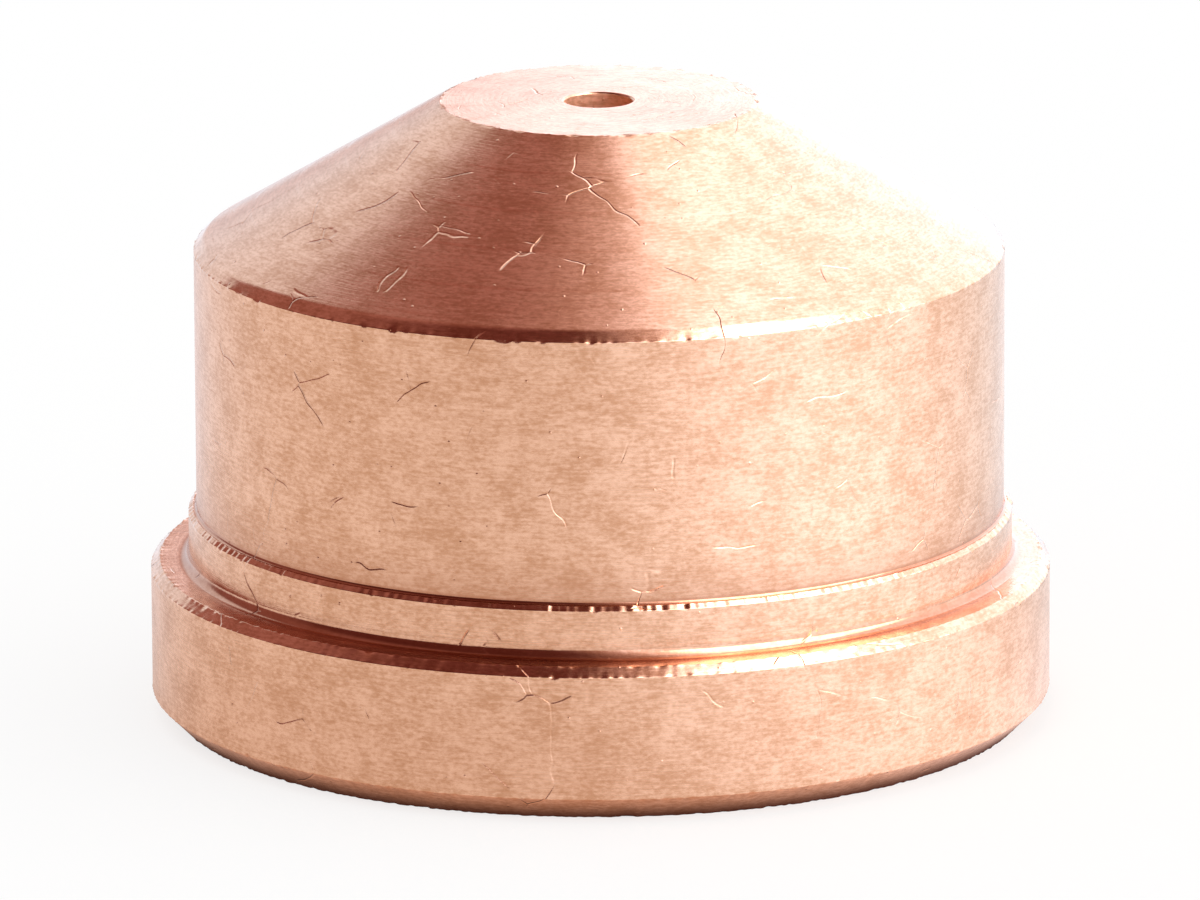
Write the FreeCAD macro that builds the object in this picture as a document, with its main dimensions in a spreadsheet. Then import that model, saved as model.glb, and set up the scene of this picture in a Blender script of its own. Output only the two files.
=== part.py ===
"""Plasma torch nozzle, turned and bored from one piece of copper bar.

The Z axis is the axis of the nozzle: z = 0 is the back face, which beds on the torch, and +Z points
to the front face, where the arc comes out. Lengths are in millimetres and angles in degrees.

From back to front the outside is a flange, a ledge that the retaining cap presses on, a short
register that centres the cap, the plain body, and a cone up to the small front face. Inside are
the bore and seat of the gas diffuser, the arc chamber round the electrode, and the orifice.
"""

import FreeCAD, Part
import os

import Sketcher

FOLDER = "parts"

SIZES = {
    # Lengths along the axis
    "overall_length": 15.5,
    "ledge_height": 3.9,            # back face to the ledge under the retaining cap
    "register_length": 1.3,         # ledge to the front of the register
    "diffuser_bore_depth": 4.2,     # back face to the diffuser's seat
    "orifice_length": 3.2,          # front face to the orifice's mouth inside the chamber
    # Diameters
    "body_diameter": 20.2,
    "front_face_diameter": 7.9,
    "orifice_diameter": 1.7,
    # Steps and walls, on the radius
    "register_step": 0.2,           # register over body
    "ledge_width": 0.95,            # flange over register
    "diffuser_wall": 1.6,           # register over diffuser bore
    "seat_width": 2.3,              # diffuser bore over chamber
    # Slopes against the front face
    "cone_slope": 30.5,             # outside, from the body up to the front face
    "chamber_slope": 30.0,          # inside, from the chamber's wall up to the orifice
    # Chamfers and fillets outside
    "back_chamfer": 0.6,            # outer edge of the back face
    "flange_chamfer": 0.22,         # outer edge of the ledge
    "ledge_fillet": 0.25,           # root of the register, on the ledge
    "register_chamfer": 0.1,        # front edge of the register
    "body_fillet": 0.08,            # root of the body, on the register
    "shoulder_chamfer": 0.24,       # between the body and the cone
    # Chamfers and fillets inside
    "mouth_chamfer": 0.4,           # lead-in of the diffuser bore
    "seat_fillet": 0.2,             # corner behind the diffuser's seat
    "chamber_chamfer": 0.3,         # edge between the seat and the chamber
    "inlet_chamfer": 0.35,          # mouth of the orifice inside the chamber
    "orifice_break": 0.04,          # edge of the orifice on the front face
    "orifice_break_angle": 90.0,    # full angle of the cone that breaks it
}

# Radii and heights that follow from the sizes, as expressions on the sheet
ON_AXIS = "0"
BODY_RADIUS = "sizes.body_diameter / 2"
REGISTER_RADIUS = f"{BODY_RADIUS} + sizes.register_step"
FLANGE_RADIUS = f"{REGISTER_RADIUS} + sizes.ledge_width"
SHOULDER_RADIUS = f"{BODY_RADIUS} - sizes.shoulder_chamfer"
FACE_RADIUS = "sizes.front_face_diameter / 2"
BORE_RADIUS = f"{REGISTER_RADIUS} - sizes.diffuser_wall"
CHAMBER_RADIUS = f"{BORE_RADIUS} - sizes.seat_width"
ORIFICE_RADIUS = "sizes.orifice_diameter / 2"
INLET_RADIUS = f"{ORIFICE_RADIUS} + sizes.inlet_chamfer"

BACK = ON_AXIS
LEDGE = "sizes.ledge_height"
REGISTER_FRONT = f"{LEDGE} + sizes.register_length"
FRONT = "sizes.overall_length"
CONE_FOOT = f"{FRONT} - ({SHOULDER_RADIUS} - {FACE_RADIUS}) * tan(sizes.cone_slope)"
BODY_FRONT = f"{CONE_FOOT} - sizes.shoulder_chamfer"
SEAT = "sizes.diffuser_bore_depth"
INLET = f"{FRONT} - sizes.orifice_length"
INLET_APEX = f"{INLET} + {INLET_RADIUS}"
CHAMBER_CORNER = f"{INLET} - ({CHAMBER_RADIUS} - ({INLET_RADIUS})) * tan(sizes.chamber_slope)"

# The body's fillet has at most nine tenths of what the register's chamfer leaves of its step
BODY_FILLET = "min(sizes.body_fillet; 0.9 * (sizes.register_step - sizes.register_chamfer))"


def make_sheet(doc):
    """The driving dimensions, one to a row: its name in column A, its value in column B."""
    sheet = doc.addObject("Spreadsheet::Sheet", "sizes")
    for row, (name, value) in enumerate(SIZES.items(), start=1):
        sheet.set(f"A{row}", name)
        sheet.set(f"B{row}", str(value))
        sheet.setAlias(f"B{row}", name)
    doc.recompute()
    return sheet


def value_of(sheet, expression):
    """The number that an expression on the sheet comes to."""
    value = sheet.evalExpression(expression)
    return float(getattr(value, "Value", value))


def origin_plane(body, role):
    """One of the body's own origin planes, found by its role."""
    return next(plane for plane in body.Origin.OriginFeatures if plane.Role == role)


# In a sketch's constraints, line -1 is its X axis, which starts at the origin, and line -2 is its
# Y axis. Point 1 is a line's start, point 2 its end, and point 3 a circle's centre.


def hold_corner(sketch, corner, direction, axis, expression):
    """Holds the start of line number corner at the expression's distance from an axis."""
    if expression == ON_AXIS:
        sketch.addConstraint(Sketcher.Constraint("PointOnObject", corner, 1, axis))
        return
    start = sketch.Geometry[corner].StartPoint
    distance = start.x if direction == "DistanceX" else start.y
    index = sketch.addConstraint(Sketcher.Constraint(direction, -1, 1, corner, 1, distance))
    sketch.setExpression(f"Constraints[{index}]", expression)


def turning_profile(body, sheet, name, corners):
    """A closed outline beside the axis, its corners given as (radius, height) expressions.

    A corner with the same radius or height as the one before it is tied to it by a vertical or
    horizontal line, so that each size is a dimension of the sketch once.
    """
    sketch = body.newObject("Sketcher::SketchObject", name)
    sketch.AttachmentSupport = (origin_plane(body, "XZ_Plane"), [""])
    sketch.MapMode = "FlatFace"
    points = [
        FreeCAD.Vector(value_of(sheet, radius), value_of(sheet, height), 0)
        for radius, height in corners
    ]
    ends = points[1:] + points[:1]
    sketch.addGeometry([Part.LineSegment(start, end) for start, end in zip(points, ends)])
    for corner, (radius, height) in enumerate(corners):
        before = (corner - 1) % len(corners)
        radius_before, height_before = corners[before] if corner else (None, None)
        sketch.addConstraint(Sketcher.Constraint("Coincident", before, 2, corner, 1))
        if radius == radius_before:
            sketch.addConstraint(Sketcher.Constraint("Vertical", before))
        else:
            hold_corner(sketch, corner, "DistanceX", -2, radius)
        if height == height_before:
            sketch.addConstraint(Sketcher.Constraint("Horizontal", before))
        else:
            hold_corner(sketch, corner, "DistanceY", -1, height)
    body.Document.recompute()
    return sketch


def turn_outside(body, sheet):
    """The outside as it leaves the lathe, its rims still sharp but for the shoulder's chamfer."""
    profile = turning_profile(
        body,
        sheet,
        "outside_profile",
        [
            (ON_AXIS, BACK),
            (FLANGE_RADIUS, BACK),
            (FLANGE_RADIUS, LEDGE),
            (REGISTER_RADIUS, LEDGE),
            (REGISTER_RADIUS, REGISTER_FRONT),
            (BODY_RADIUS, REGISTER_FRONT),
            (BODY_RADIUS, BODY_FRONT),
            (SHOULDER_RADIUS, CONE_FOOT),
            (FACE_RADIUS, FRONT),
            (ON_AXIS, FRONT),
        ],
    )
    blank = body.newObject("PartDesign::Revolution", "turned_outside")
    blank.Profile = profile
    blank.ReferenceAxis = (profile, ["V_Axis"])
    body.Document.recompute()


def bore_inside(body, sheet):
    """The diffuser bore and seat, and the arc chamber, which ends in the cone of its drill."""
    profile = turning_profile(
        body,
        sheet,
        "inside_profile",
        [
            (ON_AXIS, BACK),
            (BORE_RADIUS, BACK),
            (BORE_RADIUS, SEAT),
            (CHAMBER_RADIUS, SEAT),
            (CHAMBER_RADIUS, CHAMBER_CORNER),
            (INLET_RADIUS, INLET),
            (ON_AXIS, INLET_APEX),
        ],
    )
    bores = body.newObject("PartDesign::Groove", "bored_inside")
    bores.Profile = profile
    bores.ReferenceAxis = (profile, ["V_Axis"])
    body.Document.recompute()


def drill_orifice(body, sheet):
    """The orifice, drilled from the front face into the chamber, with its edge just broken."""
    sketch = body.newObject("Sketcher::SketchObject", "orifice_centre")
    sketch.AttachmentSupport = (origin_plane(body, "XY_Plane"), [""])
    sketch.MapMode = "FlatFace"
    sketch.setExpression("AttachmentOffset.Base.z", FRONT)
    radius = value_of(sheet, ORIFICE_RADIUS)
    circle = sketch.addGeometry(Part.Circle(FreeCAD.Vector(), FreeCAD.Vector(0, 0, 1), radius))
    sketch.addConstraint(Sketcher.Constraint("Coincident", circle, 3, -1, 1))
    index = sketch.addConstraint(Sketcher.Constraint("Radius", circle, radius))
    sketch.setExpression(f"Constraints[{index}]", ORIFICE_RADIUS)
    body.Document.recompute()
    orifice = body.newObject("PartDesign::Hole", "orifice")
    orifice.Profile = sketch
    body.Document.recompute()
    orifice.DepthType = "ThroughAll"
    orifice.setExpression("Diameter", "sizes.orifice_diameter")
    orifice.HoleCutType = "Countersink"
    orifice.HoleCutCustomValues = True
    orifice.setExpression("HoleCutCountersinkAngle", "sizes.orifice_break_angle")
    orifice.setExpression("HoleCutDiameter", "sizes.orifice_diameter + 2 * sizes.orifice_break")
    body.Document.recompute()


def rim(feature, radius, height):
    """The name of the feature's circular edge with that radius, at that height."""
    tolerance = 0.00001
    for number, edge in enumerate(feature.Shape.Edges, start=1):
        curve = edge.Curve
        if not isinstance(curve, Part.Circle):
            continue
        if abs(curve.Radius - radius) < tolerance and abs(curve.Center.z - height) < tolerance:
            return f"Edge{number}"
    raise RuntimeError(f"{feature.Label} has no rim of radius {radius} at height {height}")


def dress(body, sheet, kind, name, corner, size=None):
    """The named chamfer or fillet on the rim that stands at corner."""
    base = body.Tip
    radius, height = (value_of(sheet, expression) for expression in corner)
    feature = body.newObject(f"PartDesign::{kind}", name)
    feature.Base = (base, [rim(base, radius, height)])
    feature.setExpression("Size" if kind == "Chamfer" else "Radius", size or f"sizes.{name}")
    body.Document.recompute()


def finish_edges(body, sheet):
    """Breaks the sharp rims and rounds the inside corners."""
    dress(body, sheet, "Chamfer", "back_chamfer", (FLANGE_RADIUS, BACK))
    dress(body, sheet, "Chamfer", "flange_chamfer", (FLANGE_RADIUS, LEDGE))
    dress(body, sheet, "Fillet", "ledge_fillet", (REGISTER_RADIUS, LEDGE))
    dress(body, sheet, "Chamfer", "register_chamfer", (REGISTER_RADIUS, REGISTER_FRONT))
    dress(body, sheet, "Fillet", "body_fillet", (BODY_RADIUS, REGISTER_FRONT), BODY_FILLET)
    dress(body, sheet, "Chamfer", "mouth_chamfer", (BORE_RADIUS, BACK))
    dress(body, sheet, "Fillet", "seat_fillet", (BORE_RADIUS, SEAT))
    dress(body, sheet, "Chamfer", "chamber_chamfer", (CHAMBER_RADIUS, SEAT))


def make_nozzle(doc, sheet):
    """The nozzle, as one body."""
    body = doc.addObject("PartDesign::Body", "nozzle")
    body.Label = "nozzle"
    body.Placement = FreeCAD.Placement()
    turn_outside(body, sheet)
    bore_inside(body, sheet)
    drill_orifice(body, sheet)
    finish_edges(body, sheet)
    return body


def check(doc, bodies):
    """Stops the macro if an object failed, a sketch is loose or a body isn't one valid solid."""
    failed = [o.Label for o in doc.Objects if {"Invalid", "Error"} & set(o.State)]
    if failed:
        raise RuntimeError(f"these objects failed to compute: {failed}")
    loose = [o.Label for o in doc.findObjects("Sketcher::SketchObject") if not o.FullyConstrained]
    if loose:
        raise RuntimeError(f"these sketches aren't fully constrained: {loose}")
    for body in bodies:
        shape = body.Shape
        if shape.isNull() or not shape.isValid() or len(shape.Solids) != 1:
            raise RuntimeError(f"{body.Label} isn't one valid solid")


def main():
    doc = FreeCAD.newDocument("plasma_nozzle")
    sheet = make_sheet(doc)
    bodies = [make_nozzle(doc, sheet)]
    doc.recompute()
    check(doc, bodies)
    os.makedirs(FOLDER, exist_ok=True)
    for body in bodies:
        body.Shape.exportStep(os.path.join(FOLDER, f"{body.Label}.step"))
        box = body.Shape.BoundBox
        print(
            f"{body.Label}: {box.XLength:.2f} x {box.YLength:.2f} x {box.ZLength:.2f} mm, "
            f"{body.Shape.Volume:.1f} mm3"
        )


main()
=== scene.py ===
"""Looks of the plasma torch nozzle: bare copper as it comes off the lathe.

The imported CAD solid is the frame. Its outline is read from it and turned again as one finer closed
mesh, with the small radii, burrs and nicks that real turned edges have. Lengths are in metres.
"""

import math

import bpy
import numpy as np
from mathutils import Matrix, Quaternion, Vector


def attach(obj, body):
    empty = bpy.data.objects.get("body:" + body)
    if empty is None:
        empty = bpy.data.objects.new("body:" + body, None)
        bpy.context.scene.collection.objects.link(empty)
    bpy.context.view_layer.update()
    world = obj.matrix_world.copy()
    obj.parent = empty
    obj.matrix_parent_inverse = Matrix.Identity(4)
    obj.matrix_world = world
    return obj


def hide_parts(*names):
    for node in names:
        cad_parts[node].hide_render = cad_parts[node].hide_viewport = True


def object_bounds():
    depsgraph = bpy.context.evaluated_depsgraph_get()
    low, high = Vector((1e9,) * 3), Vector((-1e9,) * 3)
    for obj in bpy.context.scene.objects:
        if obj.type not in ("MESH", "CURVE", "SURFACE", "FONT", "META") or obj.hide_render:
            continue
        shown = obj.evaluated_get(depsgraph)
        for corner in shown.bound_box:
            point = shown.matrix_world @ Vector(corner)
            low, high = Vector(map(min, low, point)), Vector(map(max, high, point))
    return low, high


MM = 0.001

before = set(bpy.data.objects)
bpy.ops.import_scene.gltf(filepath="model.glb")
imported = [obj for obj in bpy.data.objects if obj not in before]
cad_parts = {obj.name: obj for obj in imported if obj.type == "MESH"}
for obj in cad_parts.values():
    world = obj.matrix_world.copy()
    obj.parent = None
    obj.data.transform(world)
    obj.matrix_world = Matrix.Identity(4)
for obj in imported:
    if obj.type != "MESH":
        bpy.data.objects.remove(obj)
cad_low, cad_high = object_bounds()
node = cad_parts["nozzle"]
RADIUS = cad_high.x


# ---------------------------------------------------------------- outline

def outline_of(mesh):
    """The solid's outline as ordered (radius, height) points, from the rings of its mesh.

    Rings that share a face are neighbours. The walk starts on the wall of the orifice, goes out
    over the front face, down the outside and back through the bore.
    """
    places = np.array([v.co for v in mesh.vertices])
    rings = np.stack([np.hypot(places[:, 0], places[:, 1]), places[:, 2]], 1)
    points, ring_of = np.unique(np.round(rings, 6), axis=0, return_inverse=True)
    ring_of = ring_of.ravel()
    near = {number: set() for number in range(len(points))}
    for face in mesh.polygons:
        met = set(ring_of[list(face.vertices)])
        for number in met:
            near[number] |= met - {number}
    wall = np.flatnonzero(points[:, 0] < points[:, 0].min() + 0.001 * MM)
    walk = sorted(wall, key=lambda number: points[number, 1])
    while True:
        here = points[walk[-1]]
        left = [number for number in near[walk[-1]] if number not in walk]
        if not left:
            return points[walk]
        walk.append(min(left, key=lambda number: np.hypot(*(points[number] - here))))


def rounded(points, radius, from_turn=20.0, arc_step=15.0):
    """The closed outline with each corner sharper than from_turn degrees made an arc.

    Returns the points and, for each, 1 where it is on an outside edge and 0 elsewhere.
    """
    made, edge = [], []
    for before, here, after in zip(np.roll(points, 1, 0), points, np.roll(points, -1, 0)):
        to, away = here - before, after - here
        reach = np.hypot(*to), np.hypot(*away)
        to, away = to / reach[0], away / reach[1]
        turn = math.atan2(to[0] * away[1] - to[1] * away[0], float(to @ away))
        if abs(turn) < math.radians(from_turn):
            made.append(here)
            edge.append(0.0)
            continue
        cut = min(radius * math.tan(abs(turn) / 2), 0.4 * min(reach))
        steps = math.ceil(abs(math.degrees(turn)) / arc_step) + 1
        start, end = here - to * cut, here + away * cut
        for share in np.linspace(0, 1, steps + 1):
            made.append((1 - share) ** 2 * start + 2 * share * (1 - share) * here + share**2 * end)
            edge.append(1.0 if turn < 0 else 0.0)
    return np.array(made), np.array(edge)


def divided(points, edge, longest, margin):
    """The closed outline with no stretch longer than longest, and a point close to each corner."""
    made, kept = [], []
    for number, here in enumerate(points):
        after = points[(number + 1) % len(points)]
        reach = float(np.hypot(*(after - here)))
        shares = [0.0]
        if reach > 3 * margin:
            inner = max(1, math.ceil((reach - 2 * margin) / longest))
            shares += list(np.linspace(margin, reach - margin, inner + 1) / reach)
        for share in shares:
            made.append(here + (after - here) * share)
            kept.append(edge[number] if share == 0 else 0.0)
    return np.array(made), np.array(kept)


# ---------------------------------------------------------------- mesh

EDGE_RADIUS = 0.035 * MM        # of the turned edges, which are only just broken
EDGE_MARGIN = 0.07 * MM         # beside each edge, where its nicks and burrs end
LONGEST = 1.6 * MM              # stretch of the outline
FINE, COARSE = 1280, 320        # points round a ring
FINE_FROM = 0.85 * RADIUS       # radius of the rings with the fine count
BEND_REACH = 0.13 * MM          # over which an outline's bend is told
BURR, NICK = 0.010 * MM, 0.045 * MM     # height of the burrs and depth of the nicks
BURR_WAVES, BURR_COUNTS = 30, (20, 320)         # waves that make the burrs, and their counts a turn
NICKS, NICK_WIDTHS = 45, (0.04, 0.16)           # nicks to an edge, and their half widths in mm
WORN_FROM = 0.2 * RADIUS        # radius of the edges that burrs and nicks are on
FINE_CHAMFER = 0.5 * MM         # no stretch of a chamfer is longer
LEAST_FLAT = 0.2 * MM           # no level or upright stretch longer than this is a chamfer
DRILLED_WITHIN = 0.08 * RADIUS  # radius that only the drill reached
# roughness that the tools left
WALL_FINISH, CONE_FINISH, FACE_FINISH, CHAMFER_FINISH, DRILLED_FINISH = 0.27, 0.2, 0.22, 0.14, 0.6

outline, edge = rounded(outline_of(node.data), EDGE_RADIUS)
outline, edge = divided(outline, edge, LONGEST, EDGE_MARGIN)
start = int(np.argmin(np.hypot(*(outline - outline_of(node.data)[0]).T)))
outline, edge = np.roll(outline, -start, 0), np.roll(edge, -start)
steps = np.hypot(*(np.roll(outline, -1, 0) - outline).T)
along = np.concatenate([[0], np.cumsum(steps)])      # from the orifice's inner end
back = int(np.flatnonzero(outline[:, 1] < 0.001 * MM)[0])
outside = np.arange(len(outline)) <= back + 1        # rings that the air round the part touches
paths = np.roll(outline, -1, 0) - outline
arriving = np.roll(paths, 1, 0)
turns = np.arctan2(arriving[:, 0] * paths[:, 1] - arriving[:, 1] * paths[:, 0],
                   (arriving * paths).sum(1))
gaps = along[:-1, None] - along[None, :-1]
turn_in = arriving + paths              # the way that the outline heads at each ring
turn_in /= np.linalg.norm(turn_in, axis=1)[:, None]
# about 1 in a square inside corner, and -1 on a square outside one
bend = (np.exp(-(gaps / BEND_REACH) ** 2) * turns).sum(1) / (math.pi / 2)


def finish_of(number):
    """The roughness that the tool left at a ring: a chamfer's is finer than a wall's."""
    if number == 0 or number == len(outline) - 1:
        return DRILLED_FINISH
    before, here, after = (outline[(number + k) % len(outline)] for k in (-1, 0, 1))
    to, away = here - before, after - here
    flat = to if np.hypot(*to) > np.hypot(*away) else away
    longest = np.hypot(*flat)
    slope = abs(math.degrees(math.atan2(flat[1], flat[0]))) % 180
    if here[0] < DRILLED_WITHIN and slope > 60:
        return DRILLED_FINISH
    square = slope < 5 or slope > 85
    if longest < FINE_CHAMFER and not (longest > LEAST_FLAT and square):
        return CHAMFER_FINISH
    if 10 < min(slope, 180 - slope) < 60:
        return CONE_FINISH
    return WALL_FINISH if 85 < slope < 95 else FACE_FINISH


def worn(angles, radius, draw):
    """How far burrs and nicks set an edge back at each angle: burrs are below 0."""
    burrs = np.zeros_like(angles)
    counts = draw.integers(*BURR_COUNTS, BURR_WAVES)
    for count, phase in zip(counts, draw.uniform(0, 2 * math.pi, BURR_WAVES)):
        burrs += np.cos(count * angles + phase)
    depth = BURR * burrs / math.sqrt(BURR_WAVES)
    nick_angles = draw.uniform(0, 2 * math.pi, NICKS)
    widths = draw.uniform(*NICK_WIDTHS, NICKS)
    shares = draw.uniform(0.1, 1.0, NICKS) ** 2
    for nick_angle, width, share in zip(nick_angles, widths, shares):
        away = (angles - nick_angle + math.pi) % (2 * math.pi) - math.pi
        depth += NICK * share * np.exp(-(away * radius / (width * MM)) ** 2)
    return depth


def turned_mesh():
    """One closed mesh turned from the outline."""
    counts = np.where(outside & (outline[:, 0] > FINE_FROM), FINE, COARSE)
    first = np.concatenate([[0], np.cumsum(counts)])
    places, bend_of, along_of, finish = [], [], [], []
    corner = 0
    for number, (radius, height) in enumerate(outline):
        angles = np.arange(counts[number]) * 2 * math.pi / counts[number] + math.pi / 2
        corner += edge[number] == 0         # the rings of one edge share their burrs and nicks
        inward = np.array([turn_in[number, 1], -turn_in[number, 0]])
        depth = np.zeros_like(angles)
        if edge[number] and outside[number] and radius > WORN_FROM:
            depth = worn(angles, radius, np.random.default_rng(corner))
        radii = radius + depth * inward[0]
        heights = height + depth * inward[1]
        places.append(np.stack([radii * np.cos(angles), radii * np.sin(angles), heights], 1))
        bend_of.append(np.full_like(angles, bend[number]))
        along_of.append(np.full_like(angles, along[number]))
        finish.append(np.full_like(angles, finish_of(number)))
    faces, corners = [], []
    rings = len(outline)
    for number in range(rings):
        after = (number + 1) % rings
        here_count, after_count = counts[number], counts[after]
        v_here, v_after = along[number] / along[-1], along[number + 1] / along[-1]
        least = min(here_count, after_count)
        for part in range(least):
            one = [part * here_count // least + k for k in range(here_count // least + 1)]
            two = [part * after_count // least + k for k in range(after_count // least + 1)]
            face = [first[number] + k % here_count for k in reversed(one)]
            face += [first[after] + k % after_count for k in two]
            uvs = [(k / here_count, v_here) for k in reversed(one)]
            uvs += [(k / after_count, v_after) for k in two]
            faces.append(face)
            corners += uvs
    mesh = bpy.data.meshes.new("nozzle_turned")
    mesh.from_pydata(np.concatenate(places), [], faces)
    uv = mesh.uv_layers.new(name="OFBake")
    uv.data.foreach_set("uv", np.array(corners, np.float32).ravel())
    for name, values in (("bend", bend_of), ("along", along_of), ("finish", finish)):
        attribute = mesh.attributes.new(name, "FLOAT", "POINT")
        attribute.data.foreach_set("value", np.concatenate(values).astype(np.float32))
    mesh.validate()
    mesh.shade_smooth()
    return mesh


def weighted_normals(mesh):
    """Normals that the larger faces settle, so that flats stay flat up to their edges."""
    normals = np.zeros((len(mesh.vertices), 3))
    for face in mesh.polygons:
        normals[list(face.vertices)] += np.array(face.normal) * face.area
    normals /= np.linalg.norm(normals, axis=1)[:, None]
    mesh.normals_split_custom_set_from_vertices(normals)


mesh = turned_mesh()
weighted_normals(mesh)
nozzle = bpy.data.objects.new("nozzle_copper", mesh)
bpy.context.scene.collection.objects.link(nozzle)


# ---------------------------------------------------------------- nodes

class Tree:
    """A material's or the world's nodes, with short ways to make and join them."""

    def __init__(self, owner):
        owner.use_nodes = True
        self.nodes = owner.node_tree.nodes
        self.links = owner.node_tree.links
        self.nodes.clear()

    def add(self, kind, inputs=(), **settings):
        """A node with its settings, its inputs given by name as values or as other outputs."""
        made = self.nodes.new(kind)
        for name, value in settings.items():
            setattr(made, name, value)
        for name, value in dict(inputs).items():
            self.join(made.inputs[name], value)
        return made

    def join(self, socket, value):
        if isinstance(value, bpy.types.NodeSocket):
            self.links.new(value, socket)
        elif hasattr(value, "__len__") and len(value) == 3 and socket.type == "RGBA":
            socket.default_value = (*value, 1)
        else:
            socket.default_value = value

    def math(self, operation, *values):
        made = self.nodes.new("ShaderNodeMath")
        made.operation = operation
        for socket, value in zip(made.inputs, values):
            self.join(socket, value)
        return made.outputs[0]

    def vector(self, operation, *values, output="Vector"):
        made = self.nodes.new("ShaderNodeVectorMath")
        made.operation = operation
        for socket, value in zip(made.inputs, values):
            self.join(socket, value)
        return made.outputs[output]

    def fade(self, value, low, high, to_low=0.0, to_high=1.0):
        """value from low to high as to_low to to_high, smoothly and no further."""
        made = self.add("ShaderNodeMapRange", interpolation_type="SMOOTHSTEP")
        for socket, number in zip(made.inputs, (value, low, high, to_low, to_high)):
            self.join(socket, number)
        return made.outputs[0]

    def mix(self, share, one, two):
        """A colour from one to two."""
        made = self.add("ShaderNodeMix", data_type="RGBA")
        self.join(made.inputs[0], share)
        self.join(made.inputs[6], one)
        self.join(made.inputs[7], two)
        return made.outputs[2]

    def noise(self, vector, size, detail=2.0, roughness=0.5):
        """Noise from 0 to 1 whose lumps are about size across."""
        made = self.add("ShaderNodeTexNoise", {"Vector": vector, "Scale": 1 / size,
                                               "Detail": detail, "Roughness": roughness})
        return made.outputs[0]

    def scaled(self, vector, factor):
        made = self.add("ShaderNodeVectorMath", operation="SCALE")
        self.join(made.inputs[0], vector)
        self.join(made.inputs["Scale"], factor)
        return made.outputs[0]

    def swirl(self, vector, size, reach):
        """A push of up to about reach that turns slowly over size."""
        made = self.add("ShaderNodeTexNoise", {"Vector": vector, "Scale": 1 / size})
        return self.scaled(self.vector("SUBTRACT", made.outputs["Color"], (0.5, 0.5, 0.5)), reach)

    def cells(self, vector, size, feature):
        """Distance to the nearest point or edge of cells about size across, in that size."""
        made = self.add("ShaderNodeTexVoronoi", {"Vector": vector, "Scale": 1 / size},
                        feature=feature)
        return made.outputs["Distance"]


# ---------------------------------------------------------------- copper

DEEP_TONE, PALE_TONE = (0.62, 0.31, 0.178), (0.885, 0.52, 0.355)    # of the grain
CORNER_SHADE = (0.40, 0.15, 0.08)                                    # painted shade in inside corners


def copper_material():
    """Turned copper: grain and turning marks, painted shade in corners, lumps and scratches."""
    material = bpy.data.materials.new("turned_copper")
    tree = Tree(material)
    place = tree.add("ShaderNodeTexCoord").outputs["Object"]
    xyz = tree.add("ShaderNodeSeparateXYZ", {"Vector": place}).outputs
    along_out = tree.add("ShaderNodeAttribute", attribute_name="along").outputs["Fac"]

    def turned(stretch):
        """The place, with the way across the turning marks stretched."""
        across = tree.math("MULTIPLY", along_out, stretch)
        return tree.add("ShaderNodeCombineXYZ", {"X": xyz[0], "Y": xyz[1], "Z": across}).outputs[0]

    peel = tree.noise(turned(1.7), 0.15 * MM, 3.0, 0.6)
    dashes = tree.noise(turned(6.0), 0.45 * MM, 2.0, 0.6)
    marks = tree.noise(turned(60.0), 2.0 * MM, 2.0, 0.6)
    clouds = tree.noise(place, 0.9 * MM, 3.0)
    tone = tree.math("ADD", tree.math("MULTIPLY", peel, 0.42), tree.math("MULTIPLY", dashes, 0.28))
    tone = tree.math("MULTIPLY_ADD", clouds, 0.3, tone)
    colour = tree.mix(tree.fade(tone, 0.36, 0.64), DEEP_TONE, PALE_TONE)
    bend = tree.add("ShaderNodeAttribute", attribute_name="bend").outputs["Fac"]
    # painted shade: the base colour darkens in inside corners
    colour = tree.mix(tree.fade(bend, 0.05, 0.7, 0.0, 0.75), colour, CORNER_SHADE)

    # small lumps, and scratches along some of the edges of warped cells
    lumps = tree.cells(place, 0.5 * MM, "F1")
    lump = tree.fade(lumps, 0.0, 0.09, 1.0, 0.0)
    warped = tree.vector("ADD", turned(1.0), tree.swirl(place, 1.6 * MM, 0.8 * MM))
    crack = tree.fade(tree.cells(warped, 2.4 * MM, "DISTANCE_TO_EDGE"), 0.0, 0.014, 1.0, 0.0)
    some = tree.fade(tree.noise(place, 1.3 * MM, 1.0), 0.54, 0.62)
    scratch = tree.math("MULTIPLY", crack, some)

    finish = tree.add("ShaderNodeAttribute", attribute_name="finish").outputs["Fac"]
    rough = tree.math("ADD", finish, tree.math("MULTIPLY", tree.math("SUBTRACT", marks, 0.5), 0.12))
    height = tree.math("ADD", peel, marks)
    bump = tree.add("ShaderNodeBump", {"Strength": 0.3, "Distance": 0.005 * MM, "Height": height})
    marred = tree.math("SUBTRACT", lump, scratch)
    bump = tree.add("ShaderNodeBump", {"Strength": 0.6, "Distance": 0.02 * MM, "Height": marred,
                                       "Normal": bump.outputs[0]})
    shader = tree.add("ShaderNodeBsdfPrincipled", {
        "Base Color": colour, "Metallic": 1.0, "Roughness": rough, "Anisotropic": 0.4,
        "Normal": bump.outputs[0]})
    tree.add("ShaderNodeOutputMaterial", {"Surface": shader.outputs[0]})
    return material


nozzle.data.materials.append(copper_material())
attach(nozzle, "root")
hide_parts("nozzle")


# ---------------------------------------------------------------- studio

def world_light():
    """Plain white light from all round, at strength 1."""
    world = bpy.data.worlds.new("studio")
    bpy.context.scene.world = world
    tree = Tree(world)
    light = tree.add("ShaderNodeBackground", {"Color": (1, 1, 1), "Strength": 1.0})
    tree.add("ShaderNodeOutputWorld", {"Surface": light.outputs[0]})


FLOOR_SIZE = 2.0
FLOOR_GLOW = (0.97, 0.97, 0.97)
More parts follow.
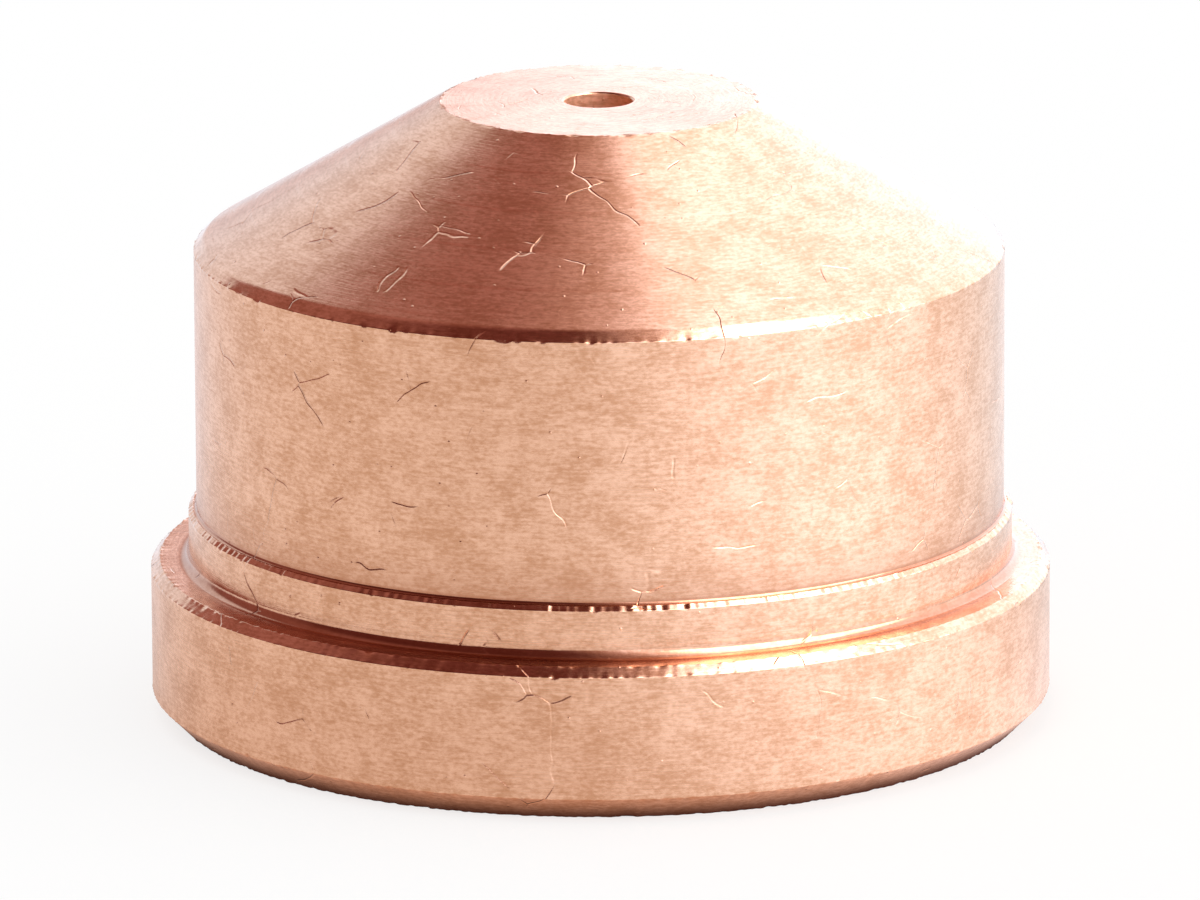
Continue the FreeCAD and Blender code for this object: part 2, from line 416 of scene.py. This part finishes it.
# way, narrowness and colour of the painted light on the floor besides: softbox right, white behind
FLOOR_LOBES = (((0.883, -0.469, 0), 3.0, (0.75, 1.0, 1.3)),
               ((0.62, 0.78, 0), 4.0, (0.1, 0.3, 0.45)),
               ((-0.40, 0.92, 0), 2.0, (0.08, 0.17, 0.3)))
NEAR_SHADE = (0.9, 0.85, 0.82)                                   # painted shadow: share of the glow close to the part
UNDER_DEEP, UNDER_EDGE = (0.05, 0.015, 0.012), (0.75, 0.53, 0.43)       # and painted shadow beneath its rim, dark inside, with painted copper-orange bounce light at its edge
WHITE_SHARE = 0.75      # of the floor that the camera sees as white without its shadow


def floor():
    """A pale table. Its shadow shows to the camera, and its glow mirrors in the copper, with painted
    light from the softbox and painted shadow near and beneath the part.
    """
    size = FLOOR_SIZE
    mesh = bpy.data.meshes.new("floor")
    mesh.from_pydata([(-size, -size, 0), (size, -size, 0), (size, size, 0), (-size, size, 0)],
                     [], [(0, 1, 2, 3)])
    made = bpy.data.objects.new("floor", mesh)
    bpy.context.scene.collection.objects.link(made)
    material = bpy.data.materials.new("pale_table")
    tree = Tree(material)
    place = tree.add("ShaderNodeTexCoord").outputs["Object"]
    way = tree.vector("NORMALIZE", place)
    away = tree.vector("LENGTH", place, output="Value")
    colour = FLOOR_GLOW
    # painted light in the floor's glow from the softbox and the white behind
    for aim, power, gain in FLOOR_LOBES:
        cosine = tree.vector("DOT_PRODUCT", way, aim, output="Value")
        lobe = tree.math("POWER", tree.math("MAXIMUM", cosine, 0.0), power)
        colour = tree.vector("ADD", colour, tree.scaled(gain, lobe))
    # painted shadow in the floor's glow close to the part and beneath its rim, seen only in the
    # copper
    near = tree.mix(tree.fade(away, 14 * MM, 34 * MM), NEAR_SHADE, (1, 1, 1))
    under = tree.mix(tree.fade(away, 10.6 * MM, 11.2 * MM), UNDER_DEEP, UNDER_EDGE)
    near = tree.mix(tree.fade(away, 11.2 * MM, 12.5 * MM), under, near)
    colour = tree.vector("MULTIPLY", colour, near)
    path = tree.add("ShaderNodeLightPath")
    diffuse = tree.add("ShaderNodeBsdfDiffuse", {"Color": (1, 1, 1)})
    lit = tree.add("ShaderNodeEmission", {"Color": colour, "Strength": 1.0})
    white = tree.add("ShaderNodeEmission", {"Color": (1, 1, 1), "Strength": 1.0})
    for_camera = tree.add("ShaderNodeMixShader", {0: WHITE_SHARE, 1: diffuse.outputs[0],
                                                  2: white.outputs[0]})
    mirrored = tree.add("ShaderNodeMixShader", {0: path.outputs["Is Glossy Ray"],
                                                1: for_camera.outputs[0], 2: lit.outputs[0]})
    tree.add("ShaderNodeOutputMaterial", {"Surface": mirrored.outputs[0]})
    mesh.materials.append(material)


TENT_RADIUS = 0.45
DARK_FRONT, DARK_BACK = (0.15, 0.042, 0.036), (0.37, 0.17, 0.155)
BACKDROP, SOFTBOX = (0.98, 1.08, 1.22), (2.0, 2.1, 2.4)
WARM_EDGE, LAMP = (0.72, 0.50, 0.46), (7.0, 7.0, 7.0)


def tent():
    """The walls of the light tent, which only mirror in the copper."""
    bpy.ops.mesh.primitive_uv_sphere_add(segments=64, ring_count=32, radius=TENT_RADIUS)
    made = bpy.context.object
    made.name = "light_tent"
    material = bpy.data.materials.new("light_tent")
    tree = Tree(material)
    place = tree.add("ShaderNodeTexCoord").outputs["Object"]
    way = tree.vector("NORMALIZE", place)
    x, y, z = tree.add("ShaderNodeSeparateXYZ", {"Vector": way}).outputs
    # dark above and before the part, and less so towards the back
    dark = tree.mix(tree.fade(y, -0.25, 0.3), DARK_FRONT, DARK_BACK)
    # the white backdrop stands behind, up to about 50 degrees
    behind = tree.fade(tree.vector("DOT_PRODUCT", way, (0.696, 0.698, -0.166), output="Value"),
                       -0.06, 0.05)
    under = tree.fade(tree.math("SUBTRACT", tree.math("MULTIPLY", y, 1.62), z), -0.08, 0.08)
    colour = tree.mix(tree.math("MULTIPLY", behind, under), dark, BACKDROP)
    # the softbox fills the right, up to a soft warm line just right of overhead
    side = tree.math("SUBTRACT", x, tree.math("MULTIPLY", tree.math("MAXIMUM", z, 0.0), 0.16))
    side = tree.math("ADD", side, tree.fade(y, -0.2, 0.25, -0.12, 0.0))
    colour = tree.mix(tree.fade(side, -0.34, -0.10), colour, WARM_EDGE)
    colour = tree.mix(tree.fade(side, -0.13, 0.0), colour, SOFTBOX)
    # its lamp stands at the front right
    lamp = tree.math("MULTIPLY", tree.fade(x, 0.25, 0.4), tree.fade(y, -0.05, 0.15, 1.0, 0.0))
    lamp = tree.math("MULTIPLY", lamp, tree.fade(z, 0.25, 0.4))
    colour = tree.mix(lamp, colour, LAMP)
    light = tree.add("ShaderNodeEmission", {"Color": colour, "Strength": 1.0})
    tree.add("ShaderNodeOutputMaterial", {"Surface": light.outputs[0]})
    made.data.materials.append(material)
    made.visible_camera = False
    made.visible_diffuse = False
    made.visible_shadow = False


CAMERA_ELEVATION, CAMERA_ROLL = math.radians(14.33), math.radians(-0.25)
CAMERA_DISTANCE, CAMERA_LENS = 0.350, 420
CAMERA_AIM = Vector((0, 0, 6.52 * MM))


def camera():
    """A long lens from the front, a little above."""
    data = bpy.data.cameras.new("camera")
    data.sensor_width = 36
    data.lens = CAMERA_LENS
    data.clip_start, data.clip_end = 0.01, 10
    made = bpy.data.objects.new("camera", data)
    bpy.context.scene.collection.objects.link(made)
    bpy.context.scene.camera = made
    out = Vector((0, -math.cos(CAMERA_ELEVATION), math.sin(CAMERA_ELEVATION)))
    made.location = CAMERA_AIM + out * CAMERA_DISTANCE
    made.rotation_mode = "QUATERNION"
    made.rotation_quaternion = out.to_track_quat("Z", "Y") @ Quaternion((0, 0, 1), CAMERA_ROLL)


world_light()
floor()
tent()
camera()
bpy.context.scene.view_settings.view_transform = "Standard"
